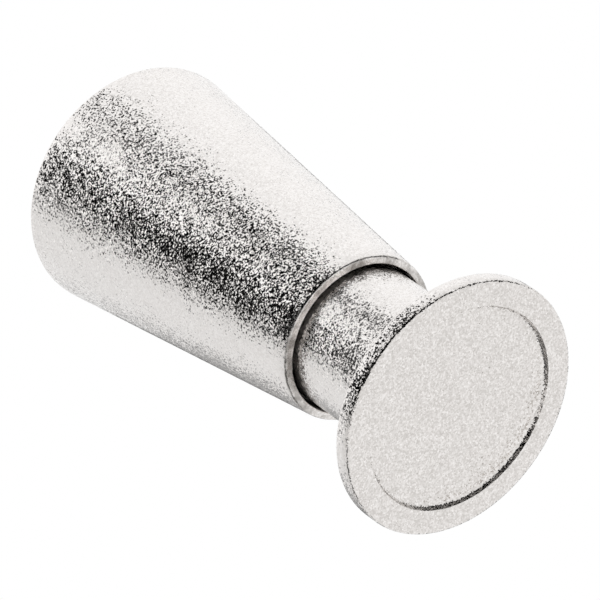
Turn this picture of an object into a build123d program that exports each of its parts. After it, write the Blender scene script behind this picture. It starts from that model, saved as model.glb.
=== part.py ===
from build123d import *
import os

os.makedirs("parts", exist_ok=True)

# Adjustable leg for counter equipment. A tapered zinc shell carries a mounting stud at its
# wide upper end, and a round flanged foot screws in and out of its narrow lower end.
# Millimetres, +Z up, z = 0 is the foot's bearing face and the Z axis is the leg's axis.

# foot casting
foot_radius = 22.225            # 1 3/4 inch across the flange
flange_thickness = 3.2
flange_round = 0.5
recess_radius = 17.85
recess_depth = 1.0
recess_draft = 0.35
recess_round = 0.8
neck_wall = 1.75
neck_root_round = 0.8
neck_lead_chamfer = 0.6
neck_engagement = 9.3           # length of neck still inside the shell
cup_floor_thickness = 3.6
cup_corner_round = 1.2
boss_wall = 1.4                 # casting round the screw head
boss_height = 2.6
boss_top_round = 0.4

# how far the foot stands out of the shell, and how far it can still go
foot_extension = 23.54
closing_gap = 0.34              # flange to shell rim with the foot screwed fully in
opening_travel = 3.0            # further extension before the stop washer lands

# leg shell
shell_length = 65.72
neck_clearance = 0.63
rim_wall = 1.38
rim_outer_round = 0.6
rim_lean = 0.3                  # rim rises this much from the hole to its outer edge
rim_hole_round = 0.25
hole_land = 3.2
top_outer_radius = 22.49
top_wall = 2.4
top_edge_round = 0.5
hub_wall = 1.4                  # casting round the thread insert
hub_draft = 0.2
hub_clearance = 0.6             # hub tube to the inside of the neck
boss_clearance = 0.6            # foot boss to the hub tube, fully screwed in
bore_clearance = 0.7            # stop washer to the hub's bore
bore_end_clearance = 1.5
rib_count = 6
rib_thickness = 1.8
rib_drop = 0.8                  # rib tops sit below the shell's top edge
rib_clearance = 1.2             # neck to the ribs, fully screwed in
rib_bite = 0.6                  # rib ends run this far into the wall and the hub

# thread insert and its locking ring
insert_wall = 1.6               # steel round the locking ring
insert_length = 8.0
insert_chamfer = 0.4
lock_ring_wall = 1.0
lock_ring_height = 2.2
running_clearance = 0.05

# adjusting screw, 1/2 inch thread
screw_radius = 6.35
screw_head_lip = 1.85
screw_head_thickness = 2.2
screw_head_web = 1.2            # casting left under the screw head
spigot_step = 2.35              # how much slimmer the spigot is than the thread
spigot_tail = 1.0
spigot_chamfer = 0.4
groove_depth = 0.7

# stop washer and the ring that holds it
washer_lip = 0.85               # how far the washer stands out past the thread
washer_thickness = 1.2
washer_play = 0.05
ring_thickness = 0.8
ring_lip = 1.9                  # how far the ring stands out past the spigot
ring_mouth = 3.0

# mounting stud, 3/8 inch thread
stud_radius = 4.7625
stud_projection = 12.7
stud_chamfer = 0.9
stud_shank_lip = 0.45           # the cast-in shank is this much thicker than the thread
stud_head_lip = 1.84
stud_head_thickness = 3.0
stud_web = 6.2                  # casting between the screw bore and the stud head

# heights that follow from the sizes above
cup_floor = recess_depth + cup_floor_thickness
boss_top = cup_floor + boss_height
rim_height = flange_thickness + foot_extension
neck_top = rim_height + neck_engagement
shell_top = rim_height + shell_length
closing_travel = foot_extension - closing_gap
hub_bottom = boss_top + closing_travel + boss_clearance
insert_top = hub_bottom + insert_length
lock_ring_top = hub_bottom + lock_ring_height
washer_bottom = insert_top + opening_travel
washer_top = washer_bottom + washer_thickness
ring_bottom = washer_top + washer_play
ring_top = ring_bottom + ring_thickness
screw_shoulder = washer_bottom - washer_play
screw_top = ring_top + spigot_tail
screw_bottom = recess_depth + screw_head_web
bore_top = screw_top + closing_travel + bore_end_clearance
stud_bottom = bore_top + stud_web
rib_bottom = neck_top + closing_travel + rib_clearance
rib_top = shell_top - rib_drop

# radii that follow from the sizes above, from the screw outwards
screw_head_radius = screw_radius + screw_head_lip
boss_radius = screw_head_radius + boss_wall
spigot_radius = screw_radius - spigot_step
groove_radius = spigot_radius - groove_depth
ring_radius = spigot_radius + ring_lip
washer_radius = screw_radius + washer_lip
bore_radius = washer_radius + bore_clearance
thread_bore_radius = screw_radius + running_clearance
lock_ring_radius = thread_bore_radius + lock_ring_wall
insert_radius = lock_ring_radius + insert_wall
hub_radius = insert_radius + hub_wall
hub_top_radius = hub_radius - hub_draft
cup_radius = hub_radius + hub_clearance
neck_radius = cup_radius + neck_wall
hole_radius = neck_radius + neck_clearance
rim_outer_radius = hole_radius + rim_wall
top_inner_radius = top_outer_radius - top_wall
stud_shank_radius = stud_radius + stud_shank_lip
stud_head_radius = stud_radius + stud_head_lip


def outline(points, turn=0):
    """Face with the given (radius, height) corners, in a plane through the leg's axis."""
    with BuildSketch(Plane.XZ.rotated((0, 0, turn))) as drawn:
        with BuildLine():
            Polyline(*points, close=True)
        make_face()
    return drawn.sketch


def circles_at(builder, radius, height):
    """Round edges of the given radius at the given height."""
    rings = builder.edges().filter_by(GeomType.CIRCLE)
    rings = rings.filter_by(lambda edge: abs(edge.radius - radius) < 0.01)
    return rings.filter_by(lambda edge: abs(edge.arc_center.Z - height) < 0.01)


def wall_radius(height):
    """Inner radius of the shell wall at a height above the straight land of its hole."""
    land_top = rim_height + hole_land
    share = (height - land_top) / (shell_top - land_top)
    return hole_radius + share * (top_inner_radius - hole_radius)


# Foot: flange with a shallow recess in its bearing face, and a neck open at the top like a
# cup. The low boss in the cup is cast around the head of the adjusting screw.
with BuildPart() as foot_casting:
    revolve(
        outline(
            [
                (0, recess_depth),
                (recess_radius - recess_draft, recess_depth),
                (recess_radius, 0),
                (foot_radius, 0),
                (foot_radius, flange_thickness),
                (neck_radius, flange_thickness),
                (neck_radius, neck_top),
                (cup_radius, neck_top),
                (cup_radius, cup_floor),
                (boss_radius, cup_floor),
                (boss_radius, boss_top),
                (0, boss_top),
            ]
        ),
        axis=Axis.Z,
    )
    fillet(circles_at(foot_casting, foot_radius, 0), flange_round)
    fillet(circles_at(foot_casting, foot_radius, flange_thickness), flange_round)
    fillet(circles_at(foot_casting, recess_radius - recess_draft, recess_depth), recess_round)
    fillet(circles_at(foot_casting, neck_radius, flange_thickness), neck_root_round)
    fillet(circles_at(foot_casting, boss_radius, boss_top), boss_top_round)
    fillet(circles_at(foot_casting, cup_radius, cup_floor), cup_corner_round)
    chamfer(circles_at(foot_casting, neck_radius, neck_top), neck_lead_chamfer)
    with BuildSketch(Plane.XY.offset(screw_bottom)):
        Circle(screw_head_radius)
    extrude(amount=screw_head_thickness, mode=Mode.SUBTRACT)
    with BuildSketch(Plane.XY.offset(screw_bottom)):
        Circle(screw_radius)
    extrude(amount=boss_top - screw_bottom, mode=Mode.SUBTRACT)
foot_casting.part.label = "foot_casting"

# Adjusting screw: cast into the foot by its head, with a plain spigot at the upper end that
# carries the stop washer and is grooved for the retaining ring.
with BuildPart() as adjusting_screw:
    revolve(
        outline(
            [
                (0, screw_bottom),
                (screw_head_radius, screw_bottom),
                (screw_head_radius, screw_bottom + screw_head_thickness),
                (screw_radius, screw_bottom + screw_head_thickness),
                (screw_radius, screw_shoulder),
                (spigot_radius, screw_shoulder),
                (spigot_radius, ring_bottom),
                (groove_radius, ring_bottom),
                (groove_radius, ring_top),
                (spigot_radius, ring_top),
                (spigot_radius, screw_top),
                (0, screw_top),
            ]
        ),
        axis=Axis.Z,
    )
    chamfer(circles_at(adjusting_screw, spigot_radius, screw_top), spigot_chamfer)
adjusting_screw.part.label = "adjusting_screw"

# Stop washer: rides on the spigot and lands on the insert when the foot is fully out.
with BuildPart() as stop_washer:
    with BuildSketch(Plane.XY.offset(washer_bottom)):
        Circle(washer_radius)
        Circle(spigot_radius + running_clearance, mode=Mode.SUBTRACT)
    extrude(amount=washer_thickness)
stop_washer.part.label = "stop_washer"

# Retaining ring: an open ring sprung into the spigot's groove.
with BuildPart() as retaining_ring:
    with BuildSketch(Plane.XY.offset(ring_bottom)):
        Circle(ring_radius)
        Circle(groove_radius, mode=Mode.SUBTRACT)
        with Locations((ring_radius, 0)):
            Rectangle(2 * ring_radius, ring_mouth, mode=Mode.SUBTRACT)
    extrude(amount=ring_thickness)
retaining_ring.part.label = "retaining_ring"

# Thread insert: steel bush pressed into the lower end of the hub tube, up against the step
# where the bore narrows. Its lower end is counterbored for the locking ring.
with BuildPart() as thread_insert:
    revolve(
        outline(
            [
                (thread_bore_radius, lock_ring_top),
                (lock_ring_radius, lock_ring_top),
                (lock_ring_radius, hub_bottom),
                (insert_radius, hub_bottom),
                (insert_radius, insert_top),
                (thread_bore_radius, insert_top),
            ]
        ),
        axis=Axis.Z,
    )
    chamfer(circles_at(thread_insert, insert_radius, hub_bottom), insert_chamfer)
thread_insert.part.label = "thread_insert"

# Locking ring: nylon ring in the insert that drags on the screw so the foot stays put.
with BuildPart() as nylon_lock_ring:
    with BuildSketch(Plane.XY.offset(hub_bottom)):
        Circle(lock_ring_radius)
        Circle(thread_bore_radius, mode=Mode.SUBTRACT)
    extrude(amount=lock_ring_height)
nylon_lock_ring.part.label = "nylon_lock_ring"

# Mounting stud: cast into the top of the hub by its head and shank, threaded end standing up.
with BuildPart() as mounting_stud:
    revolve(
        outline(
            [
                (0, stud_bottom),
                (stud_head_radius, stud_bottom),
                (stud_head_radius, stud_bottom + stud_head_thickness),
                (stud_shank_radius, stud_bottom + stud_head_thickness),
                (stud_shank_radius, shell_top),
                (stud_radius, shell_top),
                (stud_radius, shell_top + stud_projection),
                (0, shell_top + stud_projection),
            ]
        ),
        axis=Axis.Z,
    )
    chamfer(circles_at(mounting_stud, stud_radius, shell_top + stud_projection), stud_chamfer)
mounting_stud.part.label = "mounting_stud"

# Leg shell: tapered wall cored out from the wide end, a central hub held by ribs, the hub's
# lower end hanging free as a tube inside the neck of the foot.
with BuildPart() as leg_shell:
    revolve(
        outline(
            [
                (hole_radius, rim_height),
                (rim_outer_radius, rim_height + rim_lean),
                (top_outer_radius, shell_top),
                (top_inner_radius, shell_top),
                (hole_radius, rim_height + hole_land),
            ]
        ),
        axis=Axis.Z,
    )
    revolve(
        outline(
            [
                (insert_radius, hub_bottom),
                (hub_radius, hub_bottom),
                (hub_top_radius, shell_top),
                (0, shell_top),
                (0, bore_top),
                (bore_radius, bore_top),
                (bore_radius, insert_top),
                (insert_radius, insert_top),
            ]
        ),
        axis=Axis.Z,
    )
    for index in range(rib_count):
        extrude(
            outline(
                [
                    (hub_top_radius - rib_bite, rib_bottom),
                    (wall_radius(rib_bottom) + rib_bite, rib_bottom),
                    (wall_radius(rib_top) + rib_bite, rib_top),
                    (hub_top_radius - rib_bite, rib_top),
                ],
                turn=index * 360 / rib_count,
            ),
            amount=rib_thickness / 2,
            both=True,
        )
    fillet(circles_at(leg_shell, rim_outer_radius, rim_height + rim_lean), rim_outer_round)
    fillet(circles_at(leg_shell, hole_radius, rim_height), rim_hole_round)
    fillet(circles_at(leg_shell, top_outer_radius, shell_top), top_edge_round)
    with BuildSketch(Plane.XY.offset(stud_bottom)):
        Circle(stud_head_radius)
    extrude(amount=stud_head_thickness, mode=Mode.SUBTRACT)
    with BuildSketch(Plane.XY.offset(stud_bottom)):
        Circle(stud_shank_radius)
    extrude(amount=shell_top - stud_bottom, mode=Mode.SUBTRACT)
leg_shell.part.label = "leg_shell"

export_step(foot_casting.part, "parts/foot_casting.step")
export_step(adjusting_screw.part, "parts/adjusting_screw.step")
export_step(stop_washer.part, "parts/stop_washer.step")
export_step(retaining_ring.part, "parts/retaining_ring.step")
export_step(thread_insert.part, "parts/thread_insert.step")
export_step(nylon_lock_ring.part, "parts/nylon_lock_ring.step")
export_step(mounting_stud.part, "parts/mounting_stud.step")
export_step(leg_shell.part, "parts/leg_shell.step")
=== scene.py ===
import math

import bmesh
import bpy
from mathutils import Matrix, Vector


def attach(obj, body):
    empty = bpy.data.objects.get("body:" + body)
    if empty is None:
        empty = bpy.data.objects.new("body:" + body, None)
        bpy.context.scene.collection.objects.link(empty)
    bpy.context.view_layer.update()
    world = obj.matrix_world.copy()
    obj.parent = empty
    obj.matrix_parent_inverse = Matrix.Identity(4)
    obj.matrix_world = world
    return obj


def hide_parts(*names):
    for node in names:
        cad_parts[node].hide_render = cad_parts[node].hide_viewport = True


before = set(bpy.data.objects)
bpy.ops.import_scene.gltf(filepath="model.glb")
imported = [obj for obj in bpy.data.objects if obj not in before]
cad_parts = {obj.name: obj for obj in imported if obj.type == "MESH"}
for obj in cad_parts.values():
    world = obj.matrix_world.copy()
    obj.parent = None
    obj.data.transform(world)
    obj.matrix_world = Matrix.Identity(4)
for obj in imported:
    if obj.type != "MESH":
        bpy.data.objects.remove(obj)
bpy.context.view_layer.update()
mm = 0.001
print("frame loaded:", ", ".join(sorted(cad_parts)))


# Meshes are drawn in mm and turned into metres as their points are made.

def makePiece(name, bm, body, materials, replaced):
    loose = [vert for vert in bm.verts if not vert.link_faces]
    bmesh.ops.delete(bm, geom=loose, context="VERTS")
    bmesh.ops.recalc_face_normals(bm, faces=bm.faces)
    mesh = bpy.data.meshes.new(name)
    bm.to_mesh(mesh)
    bm.free()
    piece = bpy.data.objects.new(name, mesh)
    bpy.context.scene.collection.objects.link(piece)
    for face in mesh.polygons:
        face.use_smooth = True
    for material in materials:
        mesh.materials.append(material)
    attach(piece, body)
    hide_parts(*replaced)
    return piece


def roundCorners(corners, steps=6):
    # corners are (radius, height, rounding) in mm; each is turned into a small arc
    points = []
    for i, (r, z, rounding) in enumerate(corners):
        here = Vector((r, z))
        if rounding == 0:
            points.append(here)
            continue
        before = Vector(corners[i - 1][:2]) - here
        after = Vector(corners[(i + 1) % len(corners)][:2]) - here
        half = before.angle(after) / 2
        reach = rounding / math.tan(half)
        start = here + before.normalized() * reach
        end = here + after.normalized() * reach
        inward = (before.normalized() + after.normalized()).normalized()
        centre = here + inward * (rounding / math.sin(half))
        a, b = start - centre, end - centre
        sweep = a.angle(b)
        for k in range(steps + 1):
            t = k / steps
            arm = a * math.sin((1 - t) * sweep) + b * math.sin(t * sweep)
            points.append(centre + arm / math.sin(sweep))
    return points


def splitLong(outline, longest=2.0):
    # adds points on long straight runs so that quads stay well shaped
    points = []
    for i, point in enumerate(outline):
        following = outline[(i + 1) % len(outline)]
        pieces = max(1, math.ceil((following - point).length / longest))
        for k in range(pieces):
            points.append(point.lerp(following, k / pieces))
    return points


def addLathe(bm, corners, segments):
    # closed outline turned about the leg's axis
    rings = []
    for point in splitLong(roundCorners(corners)):
        if point[0] < 1e-6:
            rings.append([bm.verts.new((0, 0, point[1] * mm))] * segments)
            continue
        rings.append([
            bm.verts.new((
                point[0] * mm * math.cos(2 * math.pi * k / segments),
                point[0] * mm * math.sin(2 * math.pi * k / segments),
                point[1] * mm,
            ))
            for k in range(segments)
        ])
    for i, ring in enumerate(rings):
        following = rings[(i + 1) % len(rings)]
        for k in range(segments):
            n = (k + 1) % segments
            around = []
            for vert in (ring[k], ring[n], following[n], following[k]):
                if vert not in around:
                    around.append(vert)
            if len(around) > 2:
                bm.faces.new(around)


def addThread(bm, radius, pitch, low, high, leadIn, segments):
    # rolled unified thread from low to high: full depth but for its first turn, chamfered at the
    # top; the profile is (share of a pitch, share of the depth)
    crestToCrest = [(0.0, 0.0), (0.05, 0.0), (0.09, 0.06), (0.34, 0.92), (0.39, 1.0),
                    (0.61, 1.0), (0.66, 0.92), (0.91, 0.06), (0.95, 0.0)]
    depth = 0.6134 * pitch
    rod = bmesh.new()
    rows = []
    for turn in range(-2, math.ceil((high - low) / pitch) + 2):
        for phase, share in crestToCrest:
            row = []
            for k in range(segments):
                angle = 2 * math.pi * k / segments
                z = low + (turn + phase + k / segments) * pitch
                started = min(1.0, max(0.0, (z - low) / pitch))
                r = mm * min(radius - depth * share * started, radius - leadIn + max(0.0, high - z))
                row.append(rod.verts.new((r * math.cos(angle), r * math.sin(angle), z * mm)))
            rows.append(row)
    step = len(crestToCrest)
    for i in range(len(rows) - step - 1):
        for k in range(segments):
            if k + 1 < segments:
                rod.faces.new((rows[i][k], rows[i][k + 1], rows[i + 1][k + 1], rows[i + 1][k]))
            else:
                rod.faces.new((rows[i][k], rows[i + step][0], rows[i + step + 1][0], rows[i + 1][k]))
    for height, direction in ((low, -1), (high, 1)):
        cut = bmesh.ops.bisect_plane(
            rod, geom=rod.verts[:] + rod.edges[:] + rod.faces[:],
            plane_co=(0, 0, height * mm), plane_no=(0, 0, direction), clear_outer=True,
        )
        edges = [item for item in cut["geom_cut"] if isinstance(item, bmesh.types.BMEdge)]
        bmesh.ops.holes_fill(rod, edges=edges, sides=0)
    loose = [vert for vert in rod.verts if not vert.link_faces]
    bmesh.ops.delete(rod, geom=loose, context="VERTS")
    mesh = bpy.data.meshes.new("threaded_rod")
    rod.to_mesh(mesh)
    rod.free()
    bm.from_mesh(mesh)
    bpy.data.meshes.remove(mesh)


# Materials

def linear(hexColour):
    # sRGB hex to linear RGBA
    values = []
    for i in (0, 2, 4):
        c = int(hexColour[i:i + 2], 16) / 255
        values.append(c / 12.92 if c <= 0.04045 else ((c + 0.055) / 1.055) ** 2.4)
    return (*values, 1)


def addNode(tree, kind, settings=None, inputs=None, links=None):
    # settings are node properties, inputs are socket values,
    # links are (socket, other node, its output)
    node = tree.nodes.new(kind)
    for key, value in (settings or {}).items():
        setattr(node, key, value)
    for key, value in (inputs or {}).items():
        node.inputs[key].default_value = value
    for socket, source, output in links or []:
        tree.links.new(source.outputs[output], node.inputs[socket])
    return node


def newMaterial(name):
    material = bpy.data.materials.new(name)
    material.use_nodes = True
    tree = material.node_tree
    tree.nodes.clear()
    return material, tree


def perMetre(sizeMm):
    return 1 / (sizeMm * mm)


# Bright nickel plate over a shot-blasted zinc die casting: a mirror broken into tiny facets, so
# it sparkles black and white where light meets dark and is plain warm silver elsewhere. Plating
# hardly reaches inside the shell and the neck, which stay dull grey zinc; painted shade darkens
# them further, deepening into the hollows and darkest in the gap just inside the shell's hole.
nickelCasting = {
    "colour": "fefbf9",
    "shadeColour": "ebe7e4",
    "scuffColour": "d0ccc8",
    # the rim's streaks are drawn in this greyer colour
    "rimStreakColour": "9a9692",
    # dull zinc with painted shade: the dark grey used inside the shell and the neck
    "dullZincAndShadeColour": "55534f",
    "insideMetal": 0.5,
    "roughness": 0.11,
    "fettledRoughness": 0.24,
    "rimStreakFrom": 0.6,
    "fettledGrain": 0.55,
    "insideRoughness": 0.5,
    "facetMm": 0.26,
    "facetTilt": 0.36,
    "dentMm": 0.4,
    "dentDepthMm": 0.06,
    "waveMm": 6.0,
    "waveDepthMm": 0.05,
    "patchMm": 5.0,
    "streakMm": 3.5,
    "calmGrain": 0.7,
}


def makeNickelCasting(name, look):
    material, tree = newMaterial(name)
    place = addNode(tree, "ShaderNodeTexCoord")
    shelter = addNode(tree, "ShaderNodeAttribute", settings={"attribute_name": "shelter"})
    polish = addNode(tree, "ShaderNodeAttribute", settings={"attribute_name": "polish"})
    scuff = addNode(tree, "ShaderNodeAttribute", settings={"attribute_name": "scuff"})
    wave = addNode(tree, "ShaderNodeTexNoise", inputs={
        "Scale": perMetre(look["waveMm"]), "Detail": 2.0, "Roughness": 0.5,
    }, links=[("Vector", place, "Object")])
    waveBump = addNode(tree, "ShaderNodeBump", inputs={
        "Strength": 1.0, "Distance": look["waveDepthMm"] * mm,
    }, links=[("Height", wave, "Fac")])
    dents = addNode(tree, "ShaderNodeTexNoise", inputs={
        "Scale": perMetre(look["dentMm"]), "Detail": 1.0, "Roughness": 0.5,
    }, links=[("Vector", place, "Object")])
    grainLeft = addNode(tree, "ShaderNodeMapRange", inputs={
        "To Min": 1.0, "To Max": look["fettledGrain"],
    }, links=[("Value", polish, "Fac")])
    dentBump = addNode(tree, "ShaderNodeBump", inputs={
        "Distance": look["dentDepthMm"] * mm,
    }, links=[
        ("Strength", grainLeft, "Result"), ("Height", dents, "Fac"), ("Normal", waveBump, "Normal"),
    ])
    streakNoise = addNode(tree, "ShaderNodeTexNoise", inputs={
        "Scale": perMetre(look["streakMm"]), "Detail": 3.0, "Roughness": 0.65,
    }, links=[("Vector", place, "Object")])
    # each facet leans its own way
    facets = addNode(tree, "ShaderNodeTexVoronoi", inputs={
        "Scale": perMetre(look["facetMm"]), "Randomness": 1.0,
    }, links=[("Vector", place, "Object")])
    lean = addNode(tree, "ShaderNodeVectorMath", settings={"operation": "SUBTRACT"}, inputs={
        1: (0.5, 0.5, 0.5),
    }, links=[(0, facets, "Color")])
    patches = addNode(tree, "ShaderNodeTexNoise", inputs={
        "Scale": perMetre(look["patchMm"]), "Detail": 2.0,
    }, links=[("Vector", place, "Object")])
    strength = addNode(tree, "ShaderNodeMapRange", inputs={
        "From Min": 0.35, "From Max": 0.65,
        "To Min": look["facetTilt"] * look["calmGrain"],
        "To Max": look["facetTilt"] * (2 - look["calmGrain"]),
    }, links=[("Value", patches, "Fac")])
    strengthLeft = addNode(tree, "ShaderNodeMath", settings={"operation": "MULTIPLY"}, links=[
        (0, strength, "Result"), (1, grainLeft, "Result"),
    ])
    leanBy = addNode(tree, "ShaderNodeVectorMath", settings={"operation": "SCALE"}, links=[
        (0, lean, "Vector"), ("Scale", strengthLeft, "Value"),
    ])
    leaning = addNode(tree, "ShaderNodeVectorMath", settings={"operation": "ADD"}, links=[
        (0, dentBump, "Normal"), (1, leanBy, "Vector"),
    ])
    normal = addNode(tree, "ShaderNodeVectorMath", settings={"operation": "NORMALIZE"}, links=[
        (0, leaning, "Vector"),
    ])
    facetTone = addNode(tree, "ShaderNodeSeparateColor", links=[("Color", facets, "Color")])
    plated = addNode(tree, "ShaderNodeMix", settings={"data_type": "RGBA"}, inputs={
        6: linear(look["shadeColour"]), 7: linear(look["colour"]),
    }, links=[("Factor", facetTone, "Red")])
    # on the bearing face some facets are rubbed duller than others; the shell's rim gets the same
    # duller facets
    scuffed = addNode(tree, "ShaderNodeMath", settings={"operation": "MULTIPLY"}, links=[
        (0, scuff, "Fac"), (1, facetTone, "Green"),
    ])
    rubbed = addNode(tree, "ShaderNodeMix", settings={"data_type": "RGBA"}, inputs={
        7: linear(look["scuffColour"]),
    }, links=[("Factor", scuffed, "Value"), (6, plated, 2)])
    # the rim is drawn greyer in streaks
    streaks = addNode(tree, "ShaderNodeMapRange", inputs={
        "From Min": 0.4, "From Max": 0.62,
    }, links=[("Value", streakNoise, "Fac")])
    rimStreakMask = addNode(tree, "ShaderNodeMapRange", inputs={
        "From Min": look["rimStreakFrom"],
    }, links=[("Value", polish, "Fac")])
    streakShare = addNode(tree, "ShaderNodeMath", settings={"operation": "MULTIPLY"}, links=[
        (0, streaks, "Result"), (1, rimStreakMask, "Result"),
    ])
    rimStreaked = addNode(tree, "ShaderNodeMix", settings={"data_type": "RGBA"}, inputs={
        7: linear(look["rimStreakColour"]),
    }, links=[("Factor", streakShare, "Value"), (6, rubbed, 2)])
    # painted shade: inside the shell and the neck the colour goes to a dark grey, partly dull zinc and
    # partly shade painted into the hollows and the gap at the shell's hole
    tone = addNode(tree, "ShaderNodeMix", settings={"data_type": "RGBA"}, inputs={
        7: linear(look["dullZincAndShadeColour"]),
    }, links=[("Factor", shelter, "Fac"), (6, rimStreaked, 2)])
    metal = addNode(tree, "ShaderNodeMapRange", inputs={
        "From Max": 0.3, "To Min": 1.0, "To Max": look["insideMetal"],
    }, links=[("Value", shelter, "Fac")])
    shine = addNode(tree, "ShaderNodeMapRange", inputs={
        "From Min": 0.3, "From Max": 0.7,
        "To Min": look["roughness"] * 0.8, "To Max": look["roughness"] * 1.3,
    }, links=[("Value", wave, "Fac")])
    fettled = addNode(tree, "ShaderNodeMix", inputs={
        3: look["fettledRoughness"],
    }, links=[("Factor", polish, "Fac"), (2, shine, "Result")])
    dullness = addNode(tree, "ShaderNodeMix", inputs={
        3: look["insideRoughness"],
    }, links=[("Factor", shelter, "Fac"), (2, fettled, 0)])
    shader = addNode(tree, "ShaderNodeBsdfPrincipled", links=[
        ("Base Color", tone, 2), ("Metallic", metal, "Result"), ("Roughness", dullness, 0),
        ("Normal", normal, "Vector"),
    ])
    addNode(tree, "ShaderNodeOutputMaterial", links=[("Surface", shader, "BSDF")])
    return material


# Zinc-plated cold-headed steel, blue-bright: a cool satin grey with a faint straw bloom and fine
# turned lines round the axis, drawn a little coarser than the real ones so that they show.
zincSteel = {
    "colour": "c3c7ca",
    "bloomColour": "cfc8b4",
    "scuffColour": "9fa2a4",
    "roughness": 0.27,
    "bloomMm": 4.0,
    "lineMm": 0.12,
    "lineDepthMm": 0.004,
    "grainMm": 0.3,
}


def makeZincSteel(name, look):
    material, tree = newMaterial(name)
    place = addNode(tree, "ShaderNodeTexCoord")
    bloom = addNode(tree, "ShaderNodeTexNoise", inputs={
        "Scale": perMetre(look["bloomMm"]), "Detail": 3.0,
    }, links=[("Vector", place, "Object")])
    bloomShare = addNode(tree, "ShaderNodeMapRange", inputs={
        "From Min": 0.48, "From Max": 0.72, "To Max": 0.55,
    }, links=[("Value", bloom, "Fac")])
    grain = addNode(tree, "ShaderNodeTexNoise", inputs={
        "Scale": perMetre(look["grainMm"]), "Detail": 2.0,
    }, links=[("Vector", place, "Object")])
    scuffs = addNode(tree, "ShaderNodeMapRange", inputs={
        "From Min": 0.56, "From Max": 0.7, "To Max": 0.5,
    }, links=[("Value", grain, "Fac")])
    bloomed = addNode(tree, "ShaderNodeMix", settings={"data_type": "RGBA"}, inputs={
        6: linear(look["colour"]), 7: linear(look["bloomColour"]),
    }, links=[("Factor", bloomShare, "Result")])
    tone = addNode(tree, "ShaderNodeMix", settings={"data_type": "RGBA"}, inputs={
        7: linear(look["scuffColour"]),
    }, links=[("Factor", scuffs, "Result"), (6, bloomed, 2)])
    # lines round the axis: the pattern is stretched across and tight along the axis
    squeezed = addNode(tree, "ShaderNodeMapping", inputs={"Scale": (0.02, 0.02, 1.0)}, links=[
        ("Vector", place, "Object"),
    ])
    lines = addNode(tree, "ShaderNodeTexNoise", inputs={
        "Scale": perMetre(look["lineMm"]), "Detail": 1.0,
    }, links=[("Vector", squeezed, "Vector")])
    bump = addNode(tree, "ShaderNodeBump", inputs={
        "Strength": 1.0, "Distance": look["lineDepthMm"] * mm,
    }, links=[("Height", lines, "Fac")])
    shine = addNode(tree, "ShaderNodeMapRange", inputs={
        "From Min": 0.3, "From Max": 0.7,
        "To Min": look["roughness"] * 0.8, "To Max": look["roughness"] * 1.35,
    }, links=[("Value", grain, "Fac")])
    shader = addNode(tree, "ShaderNodeBsdfPrincipled", inputs={"Metallic": 1.0}, links=[
        ("Base Color", tone, 2), ("Roughness", shine, "Result"), ("Normal", bump, "Normal"),
    ])
    addNode(tree, "ShaderNodeOutputMaterial", links=[("Surface", shader, "BSDF")])
    return material


# Phosphated spring steel, stamped: nearly black, lightly oiled, with paler worn specks.
springSteel = {
    "colour": "38393a",
    "wornColour": "6d6f70",
    "roughness": 0.42,
    "speckMm": 0.35,
    "speckDepthMm": 0.01,
}


def makeSpringSteel(name, look):
    material, tree = newMaterial(name)
    place = addNode(tree, "ShaderNodeTexCoord")
    specks = addNode(tree, "ShaderNodeTexNoise", inputs={
        "Scale": perMetre(look["speckMm"]), "Detail": 3.0, "Roughness": 0.6,
    }, links=[("Vector", place, "Object")])
    worn = addNode(tree, "ShaderNodeMapRange", inputs={
        "From Min": 0.55, "From Max": 0.72,
    }, links=[("Value", specks, "Fac")])
    tone = addNode(tree, "ShaderNodeMix", settings={"data_type": "RGBA"}, inputs={
        6: linear(look["colour"]), 7: linear(look["wornColour"]),
    }, links=[("Factor", worn, "Result")])
    shine = addNode(tree, "ShaderNodeMapRange", inputs={
        "To Min": look["roughness"] * 1.2, "To Max": look["roughness"] * 0.8,
    }, links=[("Value", worn, "Result")])
    bump = addNode(tree, "ShaderNodeBump", inputs={
        "Strength": 1.0, "Distance": look["speckDepthMm"] * mm,
    }, links=[("Height", specks, "Fac")])
    shader = addNode(tree, "ShaderNodeBsdfPrincipled", inputs={"Metallic": 1.0}, links=[
        ("Base Color", tone, 2), ("Roughness", shine, "Result"), ("Normal", bump, "Normal"),
    ])
    addNode(tree, "ShaderNodeOutputMaterial", links=[("Surface", shader, "BSDF")])
    return material


# Natural nylon 6/6, turned from rod: milky off-white, waxy, slightly see-through at thin edges.
naturalNylon = {
    "colour": "e9e3d2",
    "shadeColour": "ddd4bd",
    "roughness": 0.42,
    "cloudMm": 2.5,
    "grainMm": 0.2,
    "grainDepthMm": 0.006,
    "scatterMm": 0.8,
}


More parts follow.
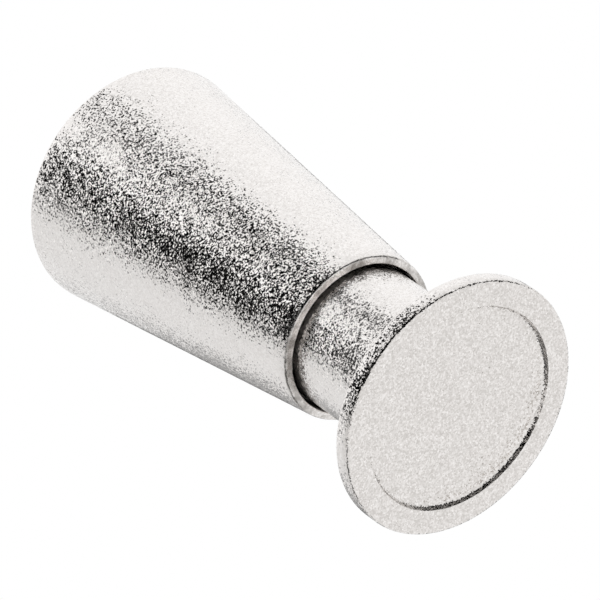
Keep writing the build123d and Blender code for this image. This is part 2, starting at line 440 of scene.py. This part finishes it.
def makeNylon(name, look):
    material, tree = newMaterial(name)
    place = addNode(tree, "ShaderNodeTexCoord")
    cloud = addNode(tree, "ShaderNodeTexNoise", inputs={
        "Scale": perMetre(look["cloudMm"]), "Detail": 2.0,
    }, links=[("Vector", place, "Object")])
    tone = addNode(tree, "ShaderNodeMix", settings={"data_type": "RGBA"}, inputs={
        6: linear(look["shadeColour"]), 7: linear(look["colour"]),
    }, links=[("Factor", cloud, "Fac")])
    grain = addNode(tree, "ShaderNodeTexNoise", inputs={
        "Scale": perMetre(look["grainMm"]), "Detail": 1.0,
    }, links=[("Vector", place, "Object")])
    bump = addNode(tree, "ShaderNodeBump", inputs={
        "Strength": 1.0, "Distance": look["grainDepthMm"] * mm,
    }, links=[("Height", grain, "Fac")])
    shine = addNode(tree, "ShaderNodeMapRange", inputs={
        "To Min": look["roughness"] * 0.85, "To Max": look["roughness"] * 1.2,
    }, links=[("Value", grain, "Fac")])
    shader = addNode(tree, "ShaderNodeBsdfPrincipled", inputs={
        "IOR": 1.53, "Subsurface Weight": 0.3, "Subsurface Scale": look["scatterMm"] * mm,
    }, links=[
        ("Base Color", tone, 2), ("Roughness", shine, "Result"), ("Normal", bump, "Normal"),
    ])
    addNode(tree, "ShaderNodeOutputMaterial", links=[("Surface", shader, "BSDF")])
    return material


castNickel = makeNickelCasting("bright_nickel_on_zinc_casting", nickelCasting)
platedSteel = makeZincSteel("zinc_plated_cold_headed_steel", zincSteel)
blackSpring = makeSpringSteel("phosphated_spring_steel", springSteel)
nylon = makeNylon("natural_nylon", naturalNylon)
print("materials made")


hair = 0.05  # how far in mm a point may be off a radius or height and still count as on it


def markSurface(piece, **shares):
    # stores on each point how much of each effect its radius and height in mm give it, from 0 to 1
    mesh = piece.data
    for name, shareOf in shares.items():
        values = mesh.attributes.new(name, "FLOAT", "POINT").data
        for i, vert in enumerate(mesh.vertices):
            share = shareOf(math.hypot(vert.co.x, vert.co.y) / mm, vert.co.z / mm)
            values[i].value = min(1.0, max(0.0, share))


# Foot casting: flange with a shallow recess in its bearing face, and a neck open at the top
foot = {
    "flangeRadius": 22.225, "flangeThickness": 3.2, "flangeRound": 0.5,
    "recessRadius": 17.85, "recessDepth": 1.0, "recessDraft": 0.35,
    "recessRound": 0.8, "recessEdgeRound": 0.15,
    "neckRadius": 12.75, "neckTop": 36.04, "neckRootRound": 0.8, "neckLead": 0.6, "neckLeadRound": 0.2,
    "cupRadius": 11.0, "cupFloor": 4.6, "cupRound": 1.2, "cupEdgeRound": 0.3,
    "bossRadius": 9.6, "bossTop": 7.2, "bossRound": 0.4,
    "dullAndShadeReachMm": 2.5, "scuffFadeMm": 0.2, "neckPolish": 0.6, "polishFadeMm": 2.0,
    "segments": 288,
}

# Adjusting screw, 1/2 inch by 13 to the inch, cast into the foot by its head
screw = {
    "radius": 6.35, "pitch": 25.4 / 13, "lead": 0.5, "bottom": 2.2,
    "headRadius": 8.2, "headThickness": 2.2, "headRound": 0.2, "shoulder": 41.95,
    "spigotRadius": 4.0, "grooveRadius": 3.3, "grooveBottom": 43.25, "grooveTop": 44.05,
    "grooveEdgeRound": 0.05, "grooveRound": 0.1, "top": 45.05, "tipRound": 0.35,
    "headOverlap": 0.3, "spigotOverlap": 0.5, "segments": 72,
}


def makeFoot(size, bore):
    headTop = bore["bottom"] + bore["headThickness"]
    bm = bmesh.new()
    addLathe(bm, [
        (0, size["recessDepth"], 0),
        (size["recessRadius"] - size["recessDraft"], size["recessDepth"], size["recessRound"]),
        (size["recessRadius"], 0, size["recessEdgeRound"]),
        (size["flangeRadius"], 0, size["flangeRound"]),
        (size["flangeRadius"], size["flangeThickness"], size["flangeRound"]),
        (size["neckRadius"], size["flangeThickness"], size["neckRootRound"]),
        (size["neckRadius"], size["neckTop"] - size["neckLead"], size["neckLeadRound"]),
        (size["neckRadius"] - size["neckLead"], size["neckTop"], size["neckLeadRound"]),
        (size["cupRadius"], size["neckTop"], size["cupEdgeRound"]),
        (size["cupRadius"], size["cupFloor"], size["cupRound"]),
        (size["bossRadius"], size["cupFloor"], 0),
        (size["bossRadius"], size["bossTop"], size["bossRound"]),
        (bore["radius"], size["bossTop"], 0),
        (bore["radius"], headTop, 0),
        (bore["headRadius"], headTop, 0),
        (bore["headRadius"], bore["bottom"], 0),
        (0, bore["bottom"], 0),
    ], size["segments"])
    piece = makePiece(
        "foot_casting_nickel", bm, "foot", [castNickel], ["foot_casting"],
    )

    # painted shade and dull zinc: the cup inside the neck darkens with depth below its top
    def shelterOf(r, z):
        inCup = r < size["cupRadius"] + hair and z > bore["bottom"] - hair
        return (size["neckTop"] - z) / size["dullAndShadeReachMm"] if inCup else 0

    def scuffOf(r, z):
        return 1 - (z - size["recessDepth"]) / size["scuffFadeMm"]

    def polishOf(r, z):
        # the neck is rubbed a little by sliding in the shell
        onNeck = r < size["neckRadius"] + 2 * hair and z > size["flangeThickness"]
        aboveRoot = z - size["flangeThickness"] - size["neckRootRound"]
        return size["neckPolish"] * min(1, aboveRoot / size["polishFadeMm"]) if onNeck else 0

    markSurface(piece, shelter=shelterOf, scuff=scuffOf, polish=polishOf)


def makeScrew(size):
    headTop = size["bottom"] + size["headThickness"]
    bm = bmesh.new()
    addLathe(bm, [
        (0, size["bottom"], 0),
        (size["headRadius"], size["bottom"], size["headRound"]),
        (size["headRadius"], headTop, size["headRound"]),
        (0, headTop, 0),
    ], size["segments"])
    addThread(
        bm, size["radius"], size["pitch"], headTop - size["headOverlap"], size["shoulder"],
        size["lead"], size["segments"],
    )
    addLathe(bm, [
        (0, size["shoulder"] - size["spigotOverlap"], 0),
        (size["spigotRadius"], size["shoulder"] - size["spigotOverlap"], 0),
        (size["spigotRadius"], size["grooveBottom"], size["grooveEdgeRound"]),
        (size["grooveRadius"], size["grooveBottom"], size["grooveRound"]),
        (size["grooveRadius"], size["grooveTop"], size["grooveRound"]),
        (size["spigotRadius"], size["grooveTop"], size["grooveEdgeRound"]),
        (size["spigotRadius"], size["top"], size["tipRound"]),
        (0, size["top"], 0),
    ], size["segments"])
    makePiece(
        "adjusting_screw_thread", bm, "foot", [platedSteel], ["adjusting_screw"],
    )


makeFoot(foot, screw)
makeScrew(screw)
print("foot casting and adjusting screw made")

# Leg shell: tapered wall, hub and ribs
shell = {
    "rimHeight": 26.74, "topHeight": 92.46,
    "holeRadius": 13.38, "rimRadius": 14.76, "topRadius": 22.49, "topWall": 2.4, "holeLand": 3.2,
    "rimRound": 0.6, "rimLean": 0.3, "holeRound": 0.25, "topRound": 0.5, "innerTopRound": 0.4,
    "hubBottom": 31.0, "hubRadius": 10.4, "hubTopRadius": 10.2, "hubRound": 0.4,
    "insertRadius": 9.0, "insertTop": 39.0, "boreRadius": 7.9, "boreTop": 69.75,
    "ribs": 6, "ribThickness": 1.8, "ribBottom": 60.44, "ribTop": 91.66, "ribFlare": 1.3,
    "ribBite": 0.3, "ribBevel": 0.4, "ribTopRound": 0.5, "ribLevelStep": 3.0,
    # how far the dull zinc and painted shade reach inside the shell
    "dullAndShadeReachMm": 12.0, "dullAndShadeStartMm": 0.3, "pocketDullAndShade": 0.3, "holeDullAndShadeReachMm": 0.8,
    "fettledHeight": 0.2, "fettledFade": 0.4,
    "partingAngle": -138, "partingWidth": 0.4, "partingHeight": 0.12,
    "segments": 288,
}

# Mounting stud, 3/8 inch by 16 to the inch, cast into the hub by its head and shank
stud = {
    "radius": 4.7625, "pitch": 25.4 / 16, "lead": 0.9, "top": 105.16,
    "shankRadius": 5.2125, "shankTop": 92.46, "shankRound": 0.1, "shankOverlap": 0.4,
    "headRadius": 6.6025, "bottom": 75.95, "headThickness": 3.0, "headRound": 0.2,
    "segments": 96,
}


def wallRadius(size, height):
    landTop = size["rimHeight"] + size["holeLand"]
    share = (height - landTop) / (size["topHeight"] - landTop)
    innerTop = size["topRadius"] - size["topWall"]
    return size["holeRadius"] + max(0.0, share) * (innerTop - size["holeRadius"])


def ribOutline(size, height, inset):
    # plan of one rib along +X: it flares where it runs into the hub and the wall, as a casting does
    inner = size["hubTopRadius"] - size["ribBite"]
    outer = wallRadius(size, height) + size["ribBite"]
    flare, steps = size["ribFlare"], 8
    stations = [inner + flare * k / steps for k in range(steps + 1)]
    stations += [outer - flare * (steps - k) / steps for k in range(steps + 1)]
    side = []
    for x in stations:
        nearest = min(x - inner, outer - x)
        t = max(0.0, 1 - nearest / flare)
        widen = flare * (1 - math.sqrt(max(0.0, 1 - t * t)))
        side.append((x, size["ribThickness"] / 2 + widen - inset))
    return side + [(x, -y) for x, y in reversed(side)]


def addRib(bm, size, angle):
    # levels are (height, how far the sides are drawn in): bevelled below, rounded on top
    bevel, topRound = size["ribBevel"], size["ribTopRound"]
    levels = [(size["ribBottom"], bevel)]
    levels += [(size["ribBottom"] + bevel + size["ribLevelStep"] * k, 0.0) for k in range(10)]
    levels += [(size["ribTop"] - topRound * down, topRound * drawn) for down, drawn in (
        (1, 0), (0.3, 0.3), (0, 1),
    )]
    turn = Matrix.Rotation(angle, 4, "Z")
    rings = []
    for z, inset in levels:
        outline = ribOutline(size, z, inset)
        rings.append([bm.verts.new(turn @ Vector((x * mm, y * mm, z * mm))) for x, y in outline])
    for low, high in zip(rings, rings[1:]):
        for k in range(len(low)):
            n = (k + 1) % len(low)
            bm.faces.new((low[k], low[n], high[n], high[k]))
    bm.faces.new(list(reversed(rings[0])))
    bm.faces.new(rings[-1])


def addParting(bm, size):
    # trace of flash across the rim where the halves of the die met
    rimEnd = size["rimHeight"] + size["rimLean"] + size["rimRound"]
    for side in (0, 180):
        angle = math.radians(size["partingAngle"] + side)
        for vert in bm.verts:
            around = math.atan2(vert.co.y, vert.co.x) - angle
            across = abs((around + math.pi) % (2 * math.pi) - math.pi)
            z, r = vert.co.z / mm, math.hypot(vert.co.x, vert.co.y) / mm
            nearRim = z < rimEnd and r > size["holeRadius"] + 2 * hair
            if nearRim and across * r < size["partingWidth"] / 2:
                vert.co.z -= size["partingHeight"] * mm


def makeShell(size, shank):
    bm = bmesh.new()
    addLathe(bm, [
        (size["holeRadius"], size["rimHeight"], size["holeRound"]),
        (size["rimRadius"], size["rimHeight"] + size["rimLean"], size["rimRound"]),
        (size["topRadius"], size["topHeight"], size["topRound"]),
        (size["topRadius"] - size["topWall"], size["topHeight"], size["innerTopRound"]),
        (size["holeRadius"], size["rimHeight"] + size["holeLand"], 0),
    ], size["segments"])
    headTop = shank["bottom"] + shank["headThickness"]
    addLathe(bm, [
        (size["insertRadius"], size["hubBottom"], 0),
        (size["hubRadius"], size["hubBottom"], size["hubRound"]),
        (size["hubTopRadius"], size["topHeight"], size["hubRound"]),
        (shank["shankRadius"], size["topHeight"], 0),
        (shank["shankRadius"], headTop, 0),
        (shank["headRadius"], headTop, 0),
        (shank["headRadius"], shank["bottom"], 0),
        (0, shank["bottom"], 0),
        (0, size["boreTop"], 0),
        (size["boreRadius"], size["boreTop"], 0),
        (size["boreRadius"], size["insertTop"], 0),
        (size["insertRadius"], size["insertTop"], 0),
    ], size["segments"] // 2)
    for index in range(size["ribs"]):
        addRib(bm, size, 2 * math.pi * index / size["ribs"])
    addParting(bm, size)
    piece = makePiece("leg_shell_nickel", bm, "shell", [castNickel], ["leg_shell"])

    # painted shade and dull zinc: just inside the hole the colour turns dark within a short reach,
    # shading the gap round the neck; deeper hollows darken a little
    def shelterOf(r, z):
        if r > wallRadius(size, z) + hair:
            return 0
        if z < size["rimHeight"] + 2 * size["holeLand"]:
            return (z - size["rimHeight"] - size["holeRound"]) / size["holeDullAndShadeReachMm"]
        below = size["topHeight"] - size["dullAndShadeStartMm"] - z
        return min(size["pocketDullAndShade"], below / size["dullAndShadeReachMm"])

    def polishOf(r, z):
        # flash was ground off the rim, leaving it smoother; the rim is also drawn greyer in streaks
        # and with duller facets
        aboveRim = z - size["rimHeight"] - size["rimLean"]
        return 1 - (aboveRim - size["fettledHeight"]) / size["fettledFade"]

    markSurface(piece, shelter=shelterOf, polish=polishOf, scuff=polishOf)


def makeStud(size):
    headTop = size["bottom"] + size["headThickness"]
    bm = bmesh.new()
    addLathe(bm, [
        (0, size["bottom"], 0),
        (size["headRadius"], size["bottom"], size["headRound"]),
        (size["headRadius"], headTop, size["headRound"]),
        (size["shankRadius"], headTop, 0),
        (size["shankRadius"], size["shankTop"], size["shankRound"]),
        (0, size["shankTop"], 0),
    ], size["segments"])
    addThread(
        bm, size["radius"], size["pitch"], size["shankTop"] - size["shankOverlap"], size["top"],
        size["lead"], size["segments"],
    )
    makePiece(
        "mounting_stud_thread", bm, "shell", [platedSteel], ["mounting_stud"],
    )


makeShell(shell, stud)
makeStud(stud)
print("leg shell and mounting stud made")

# Parts that keep their CAD shape
carried = {
    "thread_insert": platedSteel,
    "stop_washer": platedSteel,
    "retaining_ring": blackSpring,
    "nylon_lock_ring": nylon,
}
for name, material in carried.items():
    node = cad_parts[name]
    for slot in node.material_slots:
        slot.material = material
    if not node.material_slots:
        node.data.materials.append(material)
print("carried parts finished")

# Studio: pale floor far below, soft white surround. The cards are what the bright plating
# reflects; each is (name, from and to azimuth in degrees, lower edge, upper edge at each end,
# distance from the axis, colour), with the lengths in metres.
studio = {
    "floorHeight": -0.9, "floorHalf": 9.0, "floorColour": "f9f9f9",
    "surround": 1.0,
    "cards": [
        ("flag_left", -143, -99, 0.05, 0.655, 0.655, 0.6, "0a0a0a"),
        ("shade_left_deep", -149, -143, 0.05, 0.655, 0.655, 0.6, "b4b4b4"),
        ("shade_left_pale", -157, -149, 0.05, 0.655, 0.655, 0.6, "dedede"),
        ("flag_middle", -99, -66, 0.02, 0.19, 0.19, 0.28, "0a0a0a"),
        ("flag_right", -66, -46, 0.02, 0.34, 0.28, 0.28, "0a0a0a"),
        ("flag_low", -125, -25, -0.23, 0.02, 0.02, 0.3, "0a0a0a"),
        ("card_rear", 76, 106, 0.0, 0.6, 0.6, 0.5, "5a5a5a"),
        ("flag_low_right", -60, 34, -0.28, 0.0, 0.0, 0.5, "101010"),
        ("card_low_left", 146, 205, -0.28, 0.0, 0.0, 0.5, "5a5a5a"),
        ("card_back", 108, 141, 0.12, 0.35, 0.35, 0.29, "a8a8a8"),
        ("card_left", 135, 217, -0.1, 0.9, 0.9, 0.61, "e9e9e9"),
        ("card_right", -46, -6, 0.02, 0.4, 0.3, 0.3, "fafafa"),
    ],
}


def makeMatte(name, hexColour):
    material, tree = newMaterial(name)
    shader = addNode(tree, "ShaderNodeBsdfDiffuse", inputs={"Color": linear(hexColour)})
    addNode(tree, "ShaderNodeOutputMaterial", links=[("Surface", shader, "BSDF")])
    return material


def makeStage(name, bm, material):
    mesh = bpy.data.meshes.new(name)
    bm.to_mesh(mesh)
    bm.free()
    card = bpy.data.objects.new(name, mesh)
    bpy.context.scene.collection.objects.link(card)
    mesh.materials.append(material)
    return card


def makeFloor(look):
    half, height = look["floorHalf"], look["floorHeight"]
    bm = bmesh.new()
    corners = ((-1, -1), (1, -1), (1, 1), (-1, 1))
    bm.faces.new([bm.verts.new((x * half, y * half, height)) for x, y in corners])
    makeStage("floor", bm, makeMatte("pale_floor", look["floorColour"]))


def makeCard(name, left, right, lowEdge, highLeft, highRight, distance, hexColour):
    # upright bent card between two azimuths; only reflections see it
    steps = 12
    bm = bmesh.new()
    columns = []
    for k in range(steps + 1):
        t = k / steps
        angle = math.radians(left + (right - left) * t)
        x, y = distance * math.cos(angle), distance * math.sin(angle)
        highEdge = highLeft + (highRight - highLeft) * t
        columns.append((bm.verts.new((x, y, lowEdge)), bm.verts.new((x, y, highEdge))))
    for a, b in zip(columns, columns[1:]):
        bm.faces.new((a[0], b[0], b[1], a[1]))
    card = makeStage(name, bm, makeMatte(name + "_cloth", hexColour))
    card.visible_camera = False
    card.visible_diffuse = False
    card.visible_shadow = False


makeFloor(studio)
for card in studio["cards"]:
    makeCard(*card)
world = bpy.data.worlds.new("soft_white_surround")
bpy.context.scene.world = world
world.use_nodes = True
background = world.node_tree.nodes["Background"]
background.inputs["Color"].default_value = (1, 1, 1, 1)
background.inputs["Strength"].default_value = studio["surround"]
bpy.context.scene.view_settings.view_transform = "Standard"
print("studio made")

# Camera: looks up at the foot's bearing face from in front and below
view = {
    "place": (-0.28e-3, -414.53e-3, -367.80e-3),
    "forward": (0.0, 0.7101, 0.7041),
    "up": (0.8211, -0.4019, 0.4053),
    "lens": 210.34,
    "sensor": 36.0,
}


def makeCamera(look):
    data = bpy.data.cameras.new("camera")
    data.lens, data.sensor_width = look["lens"], look["sensor"]
    data.clip_start, data.clip_end = 0.01, 60
    camera = bpy.data.objects.new("camera", data)
    bpy.context.scene.collection.objects.link(camera)
    back = -Vector(look["forward"]).normalized()
    right = Vector(look["up"]).cross(back).normalized()
    up = back.cross(right)
    turn = Matrix((right, up, back)).transposed().to_4x4()
    camera.matrix_world = Matrix.Translation(look["place"]) @ turn
    bpy.context.scene.camera = camera


makeCamera(view)
print("scene ready")
